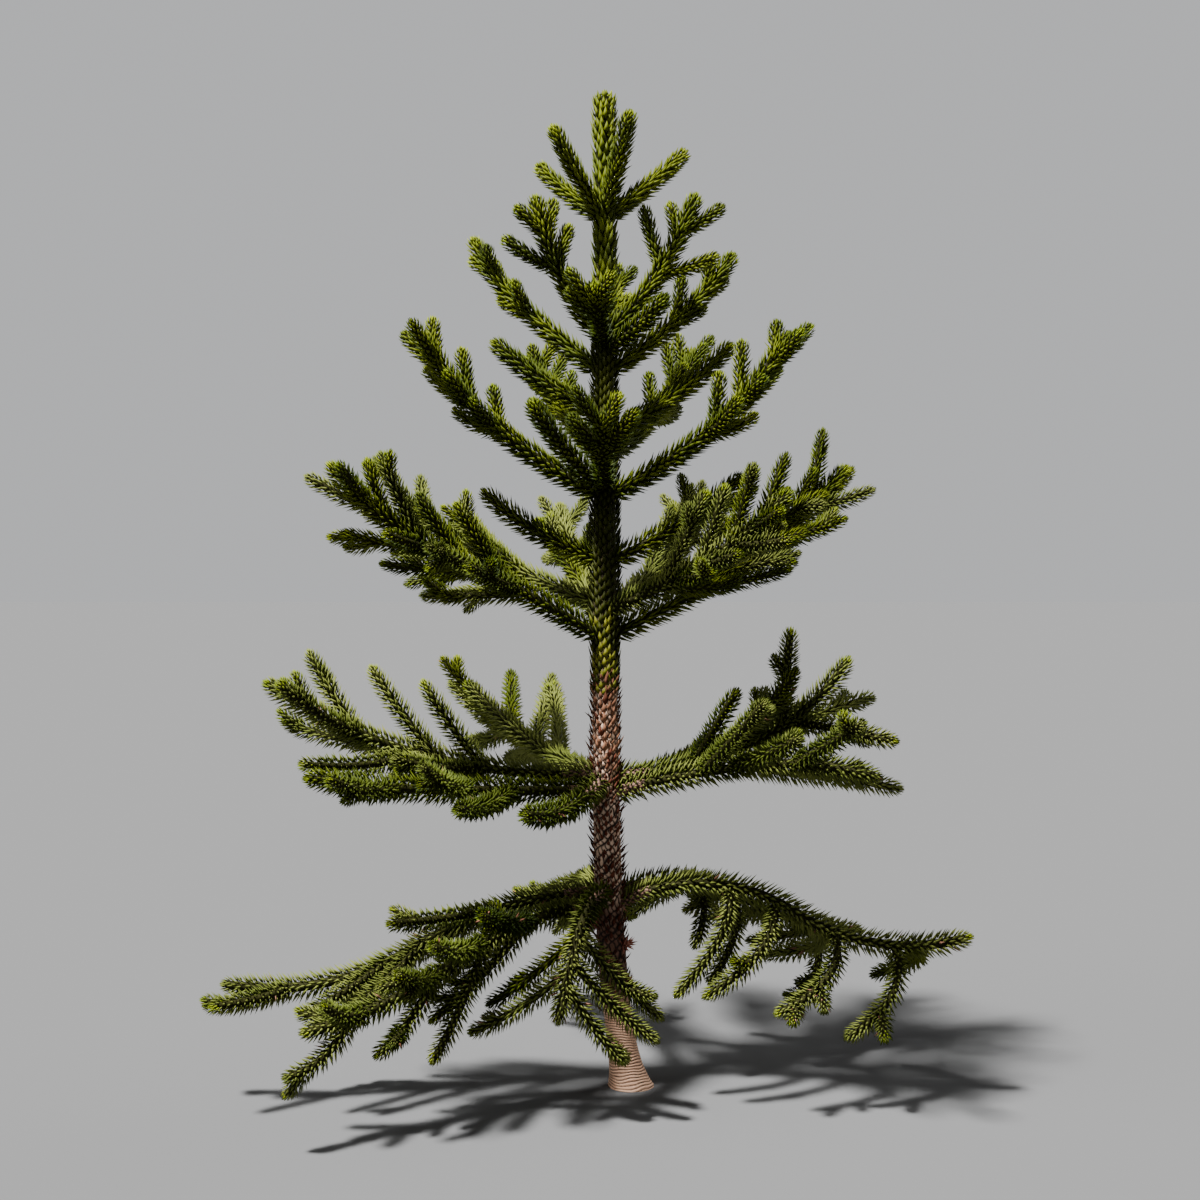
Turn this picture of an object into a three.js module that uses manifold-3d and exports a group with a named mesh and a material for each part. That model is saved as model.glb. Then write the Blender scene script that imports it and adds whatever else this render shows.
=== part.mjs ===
// A young monkey puzzle tree, rooted in level ground. Millimetres, +Z up.
// The origin is the middle of the flat cut under the trunk, and the tree is seen from -Y.
import * as THREE from "three";
import { mergeVertices } from "three/addons/utils/BufferGeometryUtils.js";
import Module from "manifold-3d";

const wasm = await Module();
wasm.setup();

// Trunk: a leaning foot with a root flare, then a straight stem up into the leader.
const TREE_HEIGHT = 3214;
const TRUNK_TIP = 3150;
const TRUNK_RADIUS = 43;
const TRUNK_TAPER = 1.5;
const FLARE_RADIUS = 30;
const FLARE_HEIGHT = 62;
const LEAN = 85;
const LEAN_HEIGHT = 330;
const TRUNK_SIDES = 12;
const TRUNK_RINGS = [0, 50, 110, 200, 330, 500, 700, 950, 1250, 1550, 1850, 2150, 2450, 2750, 3000];

// Leafy shoots: a slim core that pointed leaves stand out of, as wide over the leaf tips as the real shoot.
// Both are slimmer over a run at the foot and at the tip, and slimmer on a side shoot than on a limb.
const CORE_RADIUS = 20;
const LEAF_REACH = 42;
const SIDE_CORE_RADIUS = 17;
const SIDE_LEAF_REACH = 36;
const LEAF_LENGTH = 156;
const LEAF_OVERHANG = 0.2;
const LAST_LEAF = 0.88;
const LIMB_SIDES = 4;
const SHOOT_SIDES = 3;
const SHOOT_TWIST = 0.35;
const FOOT_SHARE = 0.5;
const FOOT_RUN = 130;
const TIP_SHARE = 0.3;
const TIP_RUN = 32;

// Gaps between pieces that touch, between masses, and between the shoots of two limbs.
const GAP = 0.4;
const MASS_GAP = 1;
const SHOOT_GAP = 6;

// Boughs of the two lowest whorls: the old foot of each limb, which has no green leaves.
const BOUGH_LENGTH = 110;
const BOUGH_FOOT_RADIUS = 19.5;
const BOUGH_TIP_RADIUS = 17;
const BOUGH_SIDES = 8;

// Growth: the step along a line, how deep a limb is rooted, and how near the ground a shoot may come.
const LINE_STEP = 22;
const ROOT_DEPTH = 4;
const LOWEST_SHOOT = 145;

// How far the side shoots differ, in degrees and in shares of a length, how much shorter they are towards the
// tip of a limb, and the shares of its length that a shoot is tried at.
const ROLL_JITTER = 40;
const SPREAD_JITTER = 16;
const FORK_JITTER = 0.08;
const LENGTH_JITTER = 0.35;
const FOOT_LENGTH = 1.15;
const TIP_LENGTH = 0.65;
const SHARES = [1, 0.8, 0.62];
const FREE_FROM = 4;

const DEGREE = Math.PI / 180;
const UP = new THREE.Vector3(0, 0, 1);
const TOWARDS_VIEWER = new THREE.Vector3(0, -1, 0);

// Each whorl has the habit of its side shoots: where along a limb they spring (forks), how far round it
// those of one fork are dealt (round), how far they turn from it (spread), how long they are (shoot), and
// how far they turn up by their tips (lift), from the foot of the limb to its tip. Angles are in degrees.
// Each limb has its azimuth (0 is +X, 90 is away from the viewer), the height of its foot, its length, its
// rise at foot, middle and tip, the shoots at each fork, and the roll of the first of them round the limb.
// Where its shoots hang, they also turn back towards the trunk by their tips (hook).
const WHORLS = [
  {
    name: "lowest",
    bough: true,
    forks: [0.28, 0.44, 0.6, 0.8],
    round: 240,
    spread: 34,
    shoot: 450,
    lift: [0.1, 0.7],
    limbs: [
      { azimuth: 190, height: 626, length: 1240, rise: [0, -30, 14], shoots: 2, roll: 180, lift: [0, 0.4] },
      { azimuth: 214, height: 582, length: 1080, rise: [4, -27, -4], shoots: 3, roll: 168, lift: [0, 1.1] },
      {
        azimuth: 250, height: 628, length: 560, rise: [6, -50, -56],
        forks: [0.5, 0.64, 0.8], shoots: 2, roll: 225, spread: 58, shoot: 560, lift: [0, 0.6],
      },
      {
        azimuth: 352, height: 588, length: 1170, rise: [30, -32, 20],
        shoots: 2, roll: 190, spread: 64, shoot: 590, lift: [-1.8, 0.2], hook: 2,
      },
      {
        azimuth: 22, height: 628, length: 960, rise: [14, -30, -4],
        shoots: 2, roll: 190, spread: 60, shoot: 460, lift: [-1.8, 0.2], hook: 1.6,
      },
      {
        azimuth: 100, height: 605, length: 1040, rise: [10, -24, -4],
        shoots: 3, roll: 185, lift: [-0.6, 0.4],
      },
    ],
  },
  {
    name: "low",
    bough: true,
    forks: [0.3, 0.48, 0.66],
    round: 360,
    spread: 36,
    shoot: 520,
    lift: [0.3, 0.5],
    limbs: [
      { azimuth: 192, height: 1002, length: 1120, rise: [0, 16, 36], shoots: 3, roll: 80 },
      { azimuth: 212, height: 954, length: 1010, rise: [4, 4, 12], shoots: 2, roll: 10 },
      { azimuth: 244, height: 985, length: 540, rise: [-22, -4, 14] },
      {
        azimuth: 351, height: 1000, length: 880, rise: [4, 24, 60],
        shoots: 3, roll: 60, spread: 46, lift: [0, -0.1],
      },
      { azimuth: 334, height: 952, length: 900, rise: [16, 10, -14], shoots: 2, roll: 20, lift: [0.2, 0] },
      { azimuth: 32, height: 962, length: 850, rise: [14, 14, 24], shoots: 2, roll: 10 },
      { azimuth: 122, height: 995, length: 940, rise: [6, 10, 24], shoots: 3, roll: 40 },
    ],
  },
  {
    name: "middle",
    forks: [0.3, 0.46, 0.62, 0.8],
    round: 360,
    spread: 33,
    shoot: 390,
    lift: [0, 0.3],
    limbs: [
      { azimuth: 188, height: 1700, length: 440, rise: [20, 30, 45] },
      { azimuth: 207, height: 1455, length: 1050, rise: [30, 22, 48], shoots: 3, roll: 200 },
      { azimuth: 154, height: 1560, length: 860, rise: [16, 24, 36], shoots: 3, roll: 20 },
      { azimuth: 102, height: 1500, length: 900, rise: [18, 26, 44], shoots: 3, roll: 20 },
      { azimuth: 348, height: 1700, length: 510, rise: [22, 32, 44] },
      { azimuth: 322, height: 1540, length: 770, rise: [18, 26, 42], shoots: 3, roll: 200 },
      { azimuth: 12, height: 1460, length: 990, rise: [24, 32, 52], shoots: 3, roll: 200 },
      { azimuth: 60, height: 1540, length: 840, rise: [18, 26, 44], shoots: 3, roll: 200 },
    ],
  },
  {
    name: "upper",
    forks: [0.48, 0.68, 0.84],
    round: 360,
    spread: 40,
    shoot: 260,
    lift: [0.96, 0.64],
    limbs: [
      { azimuth: 184, height: 2170, length: 420, rise: [26, 34, 44] },
      { azimuth: 200, height: 1907, length: 780, rise: [26, 36, 66], shoots: 3, roll: 80 },
      { azimuth: 230, height: 1935, length: 420, rise: [28, 36, 46] },
      { azimuth: 268, height: 1925, length: 380, rise: [22, 32, 50], shoots: 2, roll: 0 },
      { azimuth: 336, height: 1907, length: 790, rise: [24, 36, 62], shoots: 3, roll: 80 },
      { azimuth: 6, height: 2110, length: 500, rise: [26, 36, 50] },
      { azimuth: 56, height: 2040, length: 690, rise: [24, 36, 52], shoots: 3, roll: 20 },
      { azimuth: 118, height: 2050, length: 660, rise: [24, 36, 52], shoots: 3, roll: 20 },
    ],
  },
  {
    name: "high",
    forks: [0.5, 0.74],
    round: 360,
    spread: 38,
    shoot: 190,
    lift: [0.8, 0.8],
    limbs: [
      {
        azimuth: 214, height: 2420, length: 500, rise: [42, 60, 78],
        shoots: 2, roll: 90, spread: 50, shoot: 250, lift: [0.5, 0.5],
      },
      { azimuth: 168, height: 2310, length: 630, rise: [38, 42, 66], shoots: 3, roll: 30 },
      { azimuth: 262, height: 2395, length: 300, rise: [20, 28, 44], shoots: 2, roll: 0 },
      { azimuth: 312, height: 2375, length: 310, rise: [18, 26, 42] },
      {
        azimuth: 340, height: 2425, length: 530, rise: [42, 56, 72],
        shoots: 2, roll: 90, spread: 50, shoot: 250, lift: [0.5, 0.5],
      },
      { azimuth: 14, height: 2310, length: 590, rise: [34, 42, 58], shoots: 2, roll: 80 },
      { azimuth: 84, height: 2370, length: 540, rise: [32, 42, 60], shoots: 3, roll: 10 },
    ],
  },
  {
    name: "top",
    forks: [],
    round: 360,
    spread: 0,
    shoot: 0,
    lift: [0, 0],
    limbs: [
      { azimuth: 216, height: 2815, length: 325, rise: [48, 52, 60] },
      { azimuth: 160, height: 2805, length: 300, rise: [36, 40, 48] },
      { azimuth: 292, height: 2825, length: 340, rise: [50, 52, 58] },
      { azimuth: 26, height: 2810, length: 385, rise: [36, 40, 46] },
      { azimuth: 92, height: 2820, length: 330, rise: [46, 52, 60] },
    ],
  },
];

// Leaves that clothe the trunk from the third whorl up, and the leader above them.
const SLEEVES = [
  { name: "trunk_leaves_lower", low: 1235, high: 1885 },
  { name: "trunk_leaves_upper", low: 1886, high: 2495 },
];
const SLEEVE_WALL = 5;
const SLEEVE_LEAF_DEPTH = 10;
const SLEEVE_SIDES = 7;
const SLEEVE_LEAF = 105;
const LEADER_FOOT = 2496;
const LEADER_SIDES = 6;
const LEADER_CORE = 29;
const LEADER_REACH = 44;
const STEM_STEPS = 12;

const bark = new THREE.MeshStandardMaterial({ color: 0x6b5646, roughness: 0.95, metalness: 0 });
const boughBark = new THREE.MeshStandardMaterial({ color: 0x5c4a34, roughness: 0.9, metalness: 0 });
const foliage = new THREE.MeshStandardMaterial({ color: 0x3d4d1c, roughness: 0.6, metalness: 0 });

// A repeatable number from 0 to 1 for each key.
function chance(key) {
  const s = Math.sin(key * 12.9898) * 43758.5453;
  return s - Math.floor(s);
}

function trunkX(z) {
  return -LEAN * (1 - Math.exp(-z / LEAN_HEIGHT));
}

function trunkRadius(z) {
  const taper = Math.sqrt(Math.max(0, 1 - (z / TREE_HEIGHT) ** TRUNK_TAPER));
  return TRUNK_RADIUS * taper + FLARE_RADIUS * Math.exp(-z / FLARE_HEIGHT);
}

function solid(geometry) {
  const plain = new THREE.BufferGeometry().setAttribute("position", geometry.getAttribute("position"));
  plain.setIndex(geometry.index);
  const merged = mergeVertices(plain, 1e-4);
  const vertProperties = merged.attributes.position.array;
  const triVerts = new Uint32Array(merged.index.array);
  return new wasm.Manifold(new wasm.Mesh({ numProp: 3, vertProperties, triVerts }));
}

// The largest piece of a solid as a mesh. Scraps that a cut leaves loose are dropped.
function meshOf(made, name, material) {
  const largest = made.decompose().sort((a, b) => b.volume() - a.volume())[0];
  const { vertProperties, triVerts } = largest.getMesh();
  const geometry = new THREE.BufferGeometry();
  geometry.setAttribute("position", new THREE.BufferAttribute(new Float32Array(vertProperties), 3));
  geometry.setIndex(new THREE.BufferAttribute(new Uint32Array(triVerts), 1));
  geometry.computeVertexNormals();
  const mesh = new THREE.Mesh(geometry, material);
  mesh.name = name;
  return mesh;
}

// The trunk, turned on its axis and then sheared along its lean. `more` makes it larger all round.
function trunkSolid(more = 0) {
  const outline = [...TRUNK_RINGS, TRUNK_TIP].map((z) => new THREE.Vector2(trunkRadius(z) + more, z));
  outline[0].y -= more;
  outline.unshift(new THREE.Vector2(0, -more));
  outline.push(new THREE.Vector2(0, TRUNK_TIP + more));
  const turned = new THREE.LatheGeometry(outline, TRUNK_SIDES).rotateX(Math.PI / 2);
  const place = turned.getAttribute("position");
  for (let i = 0; i < place.count; i++) place.setX(i, place.getX(i) + trunkX(place.getZ(i)));
  return solid(turned);
}

// A line that starts at `foot` and heads where `headingAt` says for each share of its length.
function grow(foot, length, headingAt) {
  const steps = Math.max(3, Math.round(length / LINE_STEP));
  const at = foot.clone();
  const points = [at.clone()];
  for (let i = 0; i < steps; i++) {
    at.addScaledVector(headingAt((i + 0.5) / steps), length / steps);
    points.push(at.clone());
  }
  return points;
}

function heading(azimuth, rise) {
  const a = azimuth * DEGREE;
  const r = rise * DEGREE;
  return new THREE.Vector3(Math.cos(a) * Math.cos(r), Math.sin(a) * Math.cos(r), Math.sin(r));
}

function riseAt(t, foot, middle, tip) {
  return t < 0.5 ? foot + (middle - foot) * 2 * t : middle + (tip - middle) * (2 * t - 1);
}

// The point at share t of a line. Past either end it goes straight on.
function along(points, t) {
  const place = t * (points.length - 1);
  const i = Math.max(0, Math.min(points.length - 2, Math.floor(place)));
  return points[i].clone().lerp(points[i + 1], place - i);
}

function tangent(points, t) {
  const span = 1 / (points.length - 1);
  return along(points, t + span).sub(along(points, t - span)).normalize();
}

function lengthOf(points) {
  return points.slice(1).reduce((sum, p, i) => sum + p.distanceTo(points[i]), 0);
}

// A direction square to a line at each of its points, carried along the line without twist.
function carrySide(points) {
  const side = Math.abs(tangent(points, 0).z) < 0.9 ? UP.clone() : TOWARDS_VIEWER.clone();
  return points.map((_, i) => {
    const ahead = tangent(points, i / (points.length - 1));
    return side.addScaledVector(ahead, -side.dot(ahead)).normalize().clone();
  });
}

// True if a new shoot would come too near the ground, the trunk or a shoot of another limb.
function blocked(points, limb, grown) {
  const near = (2 * LEAF_REACH + SHOOT_GAP) ** 2;
  const hits = (q) => points.some((p) => p.distanceToSquared(q) < near);
  const low = points.some((p) => p.z < LOWEST_SHOOT);
  const onTrunk = points.some((p) => Math.hypot(p.x - trunkX(p.z), p.y) < trunkRadius(p.z) + LEAF_REACH);
  return low || onTrunk || grown.some((other) => other.limb !== limb && other.points.some(hits));
}

// The line of a limb, from just inside the trunk's bark to its tip.
function growLimb(whorl, limb, number) {
  const { azimuth, height, length, rise } = limb;
  const start = heading(azimuth, 0).multiplyScalar(trunkRadius(height) - ROOT_DEPTH);
  start.add(new THREE.Vector3(trunkX(height), 0, height));
  const points = grow(start, length, (t) => heading(azimuth, riseAt(t, ...rise)));
  const name = `${whorl.name}_${number + 1}`;
  return { shoots: 0, roll: 0, hook: 0, ...whorl, ...limb, name, points, side: [] };
}

// Side shoot k of a fork: it leaves the limb at an angle, then turns up or down as its whorl does.
function growShoot(limb, fork, k, key, share) {
  const roll = (limb.roll + (k * limb.round) / limb.shoots + ROLL_JITTER * (chance(key) - 0.5)) * DEGREE;
  const spread = (limb.spread + SPREAD_JITTER * (chance(key + 0.3) - 0.5)) * DEGREE;
  const t = fork + FORK_JITTER * (chance(key + 0.5) - 0.5);
  const ahead = tangent(limb.points, t);
  const level = new THREE.Vector3().crossVectors(ahead, UP).normalize();
  const over = new THREE.Vector3().crossVectors(level, ahead);
  const out = level.multiplyScalar(Math.cos(roll)).addScaledVector(over, Math.sin(roll));
  const first = ahead.multiplyScalar(Math.cos(spread)).addScaledVector(out, Math.sin(spread));
  const shorter = FOOT_LENGTH + (TIP_LENGTH - FOOT_LENGTH) * fork;
  const full = limb.shoot * (1 - LENGTH_JITTER * chance(key + 0.7)) * shorter;
  const lift = limb.lift[0] + (limb.lift[1] - limb.lift[0]) * fork;
  const back = tangent(limb.points, t).multiplyScalar(-limb.hook);
  const turned = (s) => first.clone().addScaledVector(UP, lift * s).addScaledVector(back, s).normalize();
  return grow(along(limb.points, t), full * share, turned);
}

// Every limb with its side shoots. A shoot that is blocked is shortened, or left out.
function growTree() {
  const limbs = WHORLS.flatMap((whorl) => whorl.limbs.map((limb, i) => growLimb(whorl, limb, i)));
  const grown = limbs.map((limb) => ({ limb, points: limb.points }));
  for (const [n, limb] of limbs.entries()) {
    for (const [f, fork] of limb.forks.entries()) {
      for (let k = 0; k < limb.shoots; k++) {
        const tries = SHARES.map((share) => growShoot(limb, fork, k, n * 100 + f * 10 + k, share));
        const points = tries.find((line) => !blocked(line.slice(FREE_FROM), limb, grown));
        if (!points) continue;
        limb.side.push(points);
        grown.push({ limb, points });
      }
    }
  }
  return limbs;
}

// A shoot: rings of a core along its line, with one leaf drawn out of each face between two rings.
// The first `bare` tiers have no leaves. A shoot ends in a point, and a `band` is cut flat at both ends.
function leafyShoot(points, options = {}) {
  const { sides = LIMB_SIDES, core = CORE_RADIUS, reach = LEAF_REACH, leaf = LEAF_LENGTH } = options;
  const { more = 0, foot = 0, bare = 0, band = false } = options;
  const whole = lengthOf(points);
  const length = whole - foot;
  const tiers = Math.max(2, Math.round(length / leaf));
  const turn = (2 * Math.PI) / sides;
  const sideways = carrySide(points);

  const wide = (s) => {
    if (band) return 1;
    const fromFoot = Math.min(1, (s + foot) / FOOT_RUN);
    const fromTip = Math.max(TIP_SHARE, Math.sqrt(Math.min(1, Math.max(0, (length - s) / TIP_RUN))));
    return (FOOT_SHARE + (1 - FOOT_SHARE) * fromFoot) * fromTip;
  };

  const positions = [];
  const put = (s, angle, radius) => {
    const t = (foot + s) / whole;
    const ahead = tangent(points, t);
    const nearest = sideways[Math.round(Math.min(1, Math.max(0, t)) * (points.length - 1))];
    const side = nearest.clone().addScaledVector(ahead, -nearest.dot(ahead)).normalize();
    const over = new THREE.Vector3().crossVectors(ahead, side);
    const p = along(points, t).addScaledVector(side, Math.cos(angle) * radius);
    p.addScaledVector(over, Math.sin(angle) * radius);
    positions.push(p.x, p.y, p.z);
    return positions.length / 3 - 1;
  };
  const ring = (i) => {
    const s = (i * length) / tiers + (i === 0 ? -more : 0) + (i === tiers ? more : 0);
    const radius = core * wide(s) + more;
    return Array.from({ length: sides }, (_, j) => put(s, (i * SHOOT_TWIST + j) * turn, radius));
  };
  const leafTip = (i, j, ahead) => {
    const s = Math.min(band ? length : Infinity, ((i + ahead) * length) / tiers);
    const radius = reach * wide(Math.min(s, length - TIP_RUN / 2)) + more;
    return put(s, ((i + 0.5) * SHOOT_TWIST + j + 0.5) * turn, radius);
  };

  const rings = Array.from({ length: band ? tiers + 1 : tiers }, (_, i) => ring(i));
  const root = put(-more, 0, 0);
  const end = put(length + more, 0, 0);
  const faces = [];
  for (let i = 0; i < tiers; i++) {
    for (let j = 0; j < sides; j++) {
      const a = rings[i][j];
      const b = rings[i][(j + 1) % sides];
      if (i === 0) faces.push(b, a, root);
      if (i === rings.length - 1) {
        const tip = leafTip(i, j, LAST_LEAF);
        faces.push(a, b, tip, b, end, tip, end, a, tip);
        continue;
      }
      const c = rings[i + 1][(j + 1) % sides];
      const d = rings[i + 1][j];
      if (band && i === tiers - 1) faces.push(d, c, end);
      if (i < bare) {
        faces.push(a, b, d, b, c, d);
        continue;
      }
      const tip = leafTip(i, j, 1 + LEAF_OVERHANG);
      faces.push(a, b, tip, b, c, tip, c, d, tip, d, a, tip);
    }
  }
  const geometry = new THREE.BufferGeometry();
  geometry.setAttribute("position", new THREE.Float32BufferAttribute(positions, 3));
  geometry.setIndex(faces);
  return solid(geometry);
}

// The bare foot of a limb: a short tapering tube along the limb's line.
function boughSolid(points, more = 0) {
  const whole = lengthOf(points);
  const tube = new THREE.CylinderGeometry(1, 1, 1, BOUGH_SIDES, 2).rotateX(Math.PI / 2);
  const place = tube.getAttribute("position");
  for (let i = 0; i < place.count; i++) {
    const share = place.getZ(i) + 0.5;
    const t = (share * (BOUGH_LENGTH + more)) / whole;
    const ahead = tangent(points, t);
    const side = new THREE.Vector3().crossVectors(UP, ahead).normalize();
    const over = new THREE.Vector3().crossVectors(ahead, side);
    const radius = BOUGH_FOOT_RADIUS + (BOUGH_TIP_RADIUS - BOUGH_FOOT_RADIUS) * share + more;
    const p = along(points, t).addScaledVector(side, place.getX(i) * radius);
    p.addScaledVector(over, place.getY(i) * radius);
    place.setXYZ(i, p.x, p.y, p.z);
  }
  return solid(tube);
}

// A limb's leafy part, with its side shoots fused on.
function massSolid(limb, more = 0) {
  const foot = limb.bough ? BOUGH_LENGTH + GAP : 0;
  const stem = leafyShoot(limb.points, { foot, more });
  const asSide = { more, sides: SHOOT_SIDES, core: SIDE_CORE_RADIUS, reach: SIDE_LEAF_REACH, bare: 1 };
  return limb.side.reduce((sum, points) => sum.add(leafyShoot(points, asSide)), stem);
}

function stemLine(low, high) {
  return Array.from({ length: STEM_STEPS + 1 }, (_, i) => {
    const z = low + ((high - low) * i) / STEM_STEPS;
    return new THREE.Vector3(trunkX(z), 0, z);
  });
}

const tree = new THREE.Group();
tree.add(meshOf(trunkSolid(), "trunk", bark));

// Each piece is cut clear of the trunk and of the pieces made before it.
const taken = [trunkSolid(GAP)];
function addPiece(made, name, material) {
  const free = taken.reduce((left, other) => left.subtract(other), made);
  tree.add(meshOf(free, name, material));
}

const limbs = growTree();
for (const limb of limbs.filter((each) => each.bough)) {
  addPiece(boughSolid(limb.points), `bough_${limb.name}`, boughBark);
  taken.push(boughSolid(limb.points, GAP));
}
for (const limb of limbs) {
  addPiece(massSolid(limb), `foliage_${limb.name}`, foliage);
  taken.push(massSolid(limb, MASS_GAP));
}
for (const { name, low, high } of SLEEVES) {
  const core = trunkRadius(low) + SLEEVE_WALL;
  const reach = core + SLEEVE_LEAF_DEPTH;
  const leaves = { sides: SLEEVE_SIDES, core, reach, leaf: SLEEVE_LEAF, band: true };
  addPiece(leafyShoot(stemLine(low, high), leaves), name, foliage);
}
const leaderLeaves = { sides: LEADER_SIDES, core: LEADER_CORE, reach: LEADER_REACH };
addPiece(leafyShoot(stemLine(LEADER_FOOT, TREE_HEIGHT), leaderLeaves), "foliage_leader", foliage);

export default tree;
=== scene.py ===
# A young monkey puzzle tree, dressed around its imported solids. Metres, +Z up, seen from -Y.
import math

import bmesh
import bpy
import numpy as np
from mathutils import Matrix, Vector


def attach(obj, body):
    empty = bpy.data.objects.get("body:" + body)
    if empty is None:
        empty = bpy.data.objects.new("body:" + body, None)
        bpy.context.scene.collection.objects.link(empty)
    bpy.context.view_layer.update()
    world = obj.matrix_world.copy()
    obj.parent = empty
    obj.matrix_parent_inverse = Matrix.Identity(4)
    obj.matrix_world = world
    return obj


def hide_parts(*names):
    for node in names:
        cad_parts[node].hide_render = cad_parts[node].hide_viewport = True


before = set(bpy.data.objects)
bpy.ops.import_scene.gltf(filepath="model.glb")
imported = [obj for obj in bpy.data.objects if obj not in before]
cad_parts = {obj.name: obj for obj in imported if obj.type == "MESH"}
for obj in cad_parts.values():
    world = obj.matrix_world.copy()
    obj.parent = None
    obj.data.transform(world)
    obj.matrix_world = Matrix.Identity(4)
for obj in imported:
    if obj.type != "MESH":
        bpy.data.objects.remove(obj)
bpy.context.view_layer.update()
random = np.random.default_rng(seed=7)

# Trunk. One straight stem of grey-tan wood that leans over a short flared foot. The foot is ringed with
# fine wrinkles, and from shin height up the stem is armoured with the cushions of old leaves, which stand in
# crossing spirals, thirteen one way and eight the other.
TREE_HEIGHT = 3.214
TRUNK_TIP = 3.150
TRUNK_RADIUS = 0.043
TRUNK_TAPER = 1.5
FLARE_RADIUS = 0.030
FLARE_HEIGHT = 0.062
LEAN = 0.085
LEAN_HEIGHT = 0.330
TRUNK_SIDES = 126
FOOT_TOP = 0.30
CUSHIONS_TOP = 1.46
FOOT_ROW = 0.0018
CUSHION_ROW = 0.004
LEAFY_ROW = 0.05
WRINKLE_PITCH = 0.0090
WRINKLE_DEPTH = 0.0026
CUSHION_PITCH = 0.030
CUSHION_DEPTH = 0.0055
CUSHION_STEEP = 1.7
CUSHION_LOWER_END = 0.45
CUSHION_WAVES = [(0.16, 2, 70), (0.12, 5, -150)]
WRINKLE_WAVES = [(0.35, 2, 9), (0.2, 3, 60), (0.1, 7, -95)]
WRINKLE_FULLNESS = 0.65
FOOT_FADES_FROM = 0.23
FOOT_FADES_TO = 0.34
GRAIN_SCALE = 260.0
GRAIN_SHARE = 0.3
PATCH_SCALE = 22.0
PATCH_REACH = 0.12
TRUNK_SPIRALS = (13, 8)
TINY = 1e-6


def trunk_x(z):
    return -LEAN * (1 - np.exp(-z / LEAN_HEIGHT))


def trunk_radius(z):
    taper = np.sqrt(np.maximum(0, 1 - (z / TREE_HEIGHT) ** TRUNK_TAPER))
    return TRUNK_RADIUS * taper + FLARE_RADIUS * np.exp(-z / FLARE_HEIGHT)


def smooth_step(value, low, high):
    share = min(1, max(0, (value - low) / (high - low)))
    return share * share * (3 - 2 * share)


def ridge(phase):
    """1 in the middle of each turn of a phase, 0 where one turn meets the next."""
    return 1 - abs(2 * (phase % 1) - 1)


def waves(turn, height, sizes):
    """A sum of waves. Each has a size, a number of turns round the stem, and a rate of turn up it."""
    return sum(size * math.sin(2 * math.pi * around * turn + rate * height) for size, around, rate in sizes)


def cushion(turn, height, spirals, pitch):
    """How far the bark swells, from 0 in the grooves to 1. Two sets of spirals cut it into diamonds."""
    rising, falling = spirals
    wander = waves(turn, height, CUSHION_WAVES)
    first = rising * turn + height / pitch + 0.5 + wander
    second = -falling * turn + height / pitch + 0.5 + wander
    swell = min(1, CUSHION_STEEP * min(ridge(first), ridge(second)))
    upper = ((first % 1) + (second % 1)) / 2
    return swell * (CUSHION_LOWER_END + (1 - CUSHION_LOWER_END) * upper)


def wrinkle(turn, height):
    """How far the foot's wrinkled bark swells, from 0 to 1. The wrinkles wander, part and meet."""
    return ridge(height / WRINKLE_PITCH + waves(turn, height, WRINKLE_WAVES)) ** WRINKLE_FULLNESS


def turned(outline, sides):
    """A closed body turned on the Z axis from points of (radius, height) that start and end on the axis."""
    bm = bmesh.new()
    corners = [bm.verts.new((radius, 0, height)) for radius, height in outline]
    edges = [bm.edges.new(pair) for pair in zip(corners, corners[1:])]
    bmesh.ops.spin(bm, geom=corners + edges, cent=(0, 0, 0), axis=(0, 0, 1), angle=2 * math.pi,
                   steps=sides, use_merge=True)
    bmesh.ops.remove_doubles(bm, verts=bm.verts, dist=TINY)
    bmesh.ops.recalc_face_normals(bm, faces=bm.faces)
    return bm


def piece_from(bm, name, finish):
    mesh = bpy.data.meshes.new(name)
    bm.to_mesh(mesh)
    bm.free()
    mesh.polygons.foreach_set("use_smooth", [True] * len(mesh.polygons))
    mesh.materials.append(finish)
    piece = bpy.data.objects.new(name, mesh)
    bpy.context.collection.objects.link(piece)
    return piece


def stand_for(piece, nodes):
    """The piece is fixed to the tree and is shown in place of these solids."""
    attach(piece, "root")
    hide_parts(*nodes)


class Value:
    """What a socket of a material gives, so that it can stand in a Python expression."""

    def __init__(self, tree, socket=None):
        self.tree = tree
        self.socket = socket

    def node(self, kind, settings, values, output=0):
        made = self.tree.nodes.new("ShaderNode" + kind)
        for name, setting in settings.items():
            setattr(made, name, setting)
        for name, value in values.items():
            if isinstance(value, Value):
                self.tree.links.new(value.socket, made.inputs[name])
            else:
                made.inputs[name].default_value = value
        return Value(self.tree, made.outputs[output])

    def maths(self, operation, first, second):
        return self.node("Math", {"operation": operation}, {0: first, 1: second})

    def __add__(self, other):
        return self.maths("ADD", self, other)

    def __radd__(self, other):
        return self.maths("ADD", other, self)

    def __mul__(self, other):
        return self.maths("MULTIPLY", self, other)

    def __rmul__(self, other):
        return self.maths("MULTIPLY", other, self)

    def noise(self, scale):
        return self.node("TexNoise", {}, {"Vector": self, "Scale": scale, "Detail": 3.0})

    def rise(self, low, high):
        """0 where this value is low and 1 where it is high, and a smooth rise in between."""
        limits = {"Value": self, "From Min": low, "From Max": high}
        return self.node("MapRange", {"interpolation_type": "SMOOTHSTEP"}, limits)

    def blend(self, first, second):
        """The first colour where this value is 0 and the second where it is 1. A mix of colours takes
        them in its sockets 6 and 7."""
        return self.node("Mix", {"data_type": "RGBA"}, {0: self, 6: first, 7: second}, output=2)

    def feed(self, socket):
        self.tree.links.new(self.socket, socket)


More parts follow.
